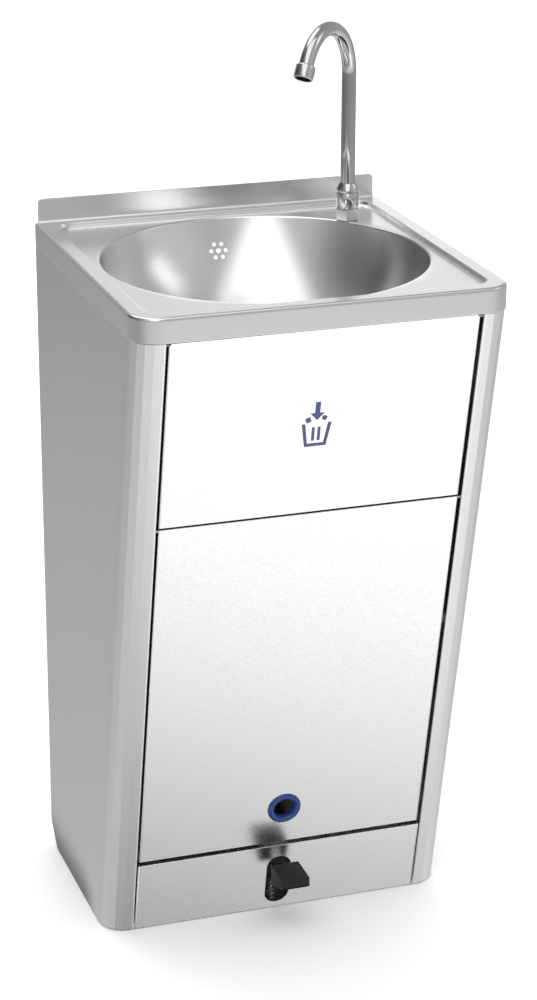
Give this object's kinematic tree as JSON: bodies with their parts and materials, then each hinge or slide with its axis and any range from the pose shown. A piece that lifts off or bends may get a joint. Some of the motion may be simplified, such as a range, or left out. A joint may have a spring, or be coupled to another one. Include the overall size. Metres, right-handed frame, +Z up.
{
  "type": "portable handwash sink",
  "caption": "Portable stainless handwash sink: round bowl and swivel tap on a cabinet with a push flap for towels, a lift-up door to the water cans and a foot pedal pump.",
  "frame": {"origin": "centre of the bounding box's bottom face, on the floor under the middle of the worktop", "axes": "+Z up, -Y the front with the flap, door and pedal, +X to the right seen from the front"},
  "size_m": [0.45, 0.45, 1.1019],
  "materials": {
    "brushed_steel": "satin stainless sheet, fine grain",
    "zinc_steel": "zinc-plated steel, dull",
    "chrome": "bright chrome plating",
    "black_plastic": "moulded, fine texture",
    "white_plastic": "moulded, satin",
    "blue_plastic": "moulded, semi-gloss",
    "grey_plastic": "moulded, satin",
    "black_rubber": "matt rubber",
    "hose_rubber": "translucent grey hose, satin"
  },
  "bodies": {
    "cabinet": {"worktop": "brushed_steel", "bowl": "brushed_steel", "drain_body": "zinc_steel", "drain_strainer": "chrome", "drain_washer": "black_rubber", "drain_nut": "zinc_steel", "overflow_cup": "white_plastic", "overflow_hose": "hose_rubber", "waste_hose": "hose_rubber", "faucet_nut": "chrome", "faucet_body": "chrome", "faucet_collar": "chrome", "faucet_shank": "zinc_steel", "faucet_washer": "black_rubber", "faucet_locknut": "zinc_steel", "left_side_panel": "brushed_steel", "right_side_panel": "brushed_steel", "rear_panel": "brushed_steel", "base_plate": "zinc_steel", "can_shelf": "zinc_steel", "bin_shelf": "zinc_steel", "top_rail": "brushed_steel", "kick_panel": "brushed_steel", "flap_pin_left": "zinc_steel", "flap_pin_right": "zinc_steel", "waste_bin": "grey_plastic", "door_pin_left": "zinc_steel", "door_pin_right": "zinc_steel", "magnet_catch": "white_plastic", "fresh_can": "white_plastic", "waste_can": "grey_plastic", "pedal_bracket": "zinc_steel", "pedal_pin": "zinc_steel", "return_spring": "zinc_steel", "pump_body": "white_plastic", "suction_hose": "hose_rubber", "supply_hose": "hose_rubber", "wheel_axle": "zinc_steel"},
    "spout": {"faucet_spout": "chrome", "aerator_shell": "chrome", "aerator_screen": "black_plastic"},
    "flap": {"flap": "brushed_steel"},
    "door": {"door": "brushed_steel", "finger_ring": "blue_plastic", "catch_plate": "zinc_steel"},
    "pedal": {"pedal_arm": "zinc_steel", "pedal_pad": "black_plastic"},
    "pump_rod": {"pump_rod": "zinc_steel"},
    "fresh_cap": {"fresh_can_cap": "black_plastic"},
    "waste_cap": {"waste_can_cap": "black_plastic"},
    "wheel_left": {"wheel_hub_left": "grey_plastic", "wheel_tyre_left": "black_rubber"},
    "wheel_right": {"wheel_hub_right": "grey_plastic", "wheel_tyre_right": "black_rubber"}
  },
  "joints": [
    {"name": "spout_swivel", "type": "hinge", "parent": "cabinet", "child": "spout", "pos_m": [0.155, 0.14, 0.88], "axis": [0, 0, 1], "range_deg": [-135, 135]},
    {"name": "flap_hinge", "type": "hinge", "parent": "cabinet", "child": "flap", "pos_m": [0, -0.21858, 0.81712], "axis": [1, 0, 0], "range_deg": [0, 24]},
    {"name": "door_hinge", "type": "hinge", "parent": "cabinet", "child": "door", "pos_m": [0, -0.16762, 0.57942], "axis": [-1, 0, 0], "range_deg": [0, 95]},
    {"name": "pedal_hinge", "type": "hinge", "parent": "cabinet", "child": "pedal", "pos_m": [0, 0.01, 0.03], "axis": [1, 0, 0], "range_deg": [0, 18], "stiffness_Nm_per_rad": 2, "springref_deg": -17.19, "deforming": ["return_spring"]},
    {"name": "pump_slide", "type": "slide", "parent": "cabinet", "child": "pump_rod", "axis": [0, 0, 1], "range_m": [0, 0.02]},
    {"name": "fresh_cap_turn", "type": "hinge", "parent": "cabinet", "child": "fresh_cap", "pos_m": [0.106, 0.1, 0.378], "axis": [0, 0, 1], "continuous": true},
    {"name": "waste_cap_turn", "type": "hinge", "parent": "cabinet", "child": "waste_cap", "pos_m": [-0.106, 0.1, 0.378], "axis": [0, 0, 1], "continuous": true},
    {"name": "wheel_left_spin", "type": "hinge", "parent": "cabinet", "child": "wheel_left", "pos_m": [-0.189, 0.19, 0.0285], "axis": [1, 0, 0], "continuous": true},
    {"name": "wheel_right_spin", "type": "hinge", "parent": "cabinet", "child": "wheel_right", "pos_m": [0.189, 0.19, 0.0285], "axis": [1, 0, 0], "continuous": true}
  ],
  "couplings": [
    {"joint": "pump_slide", "follows": "pedal_hinge", "m_per_rad": 0.0625}
  ]
}
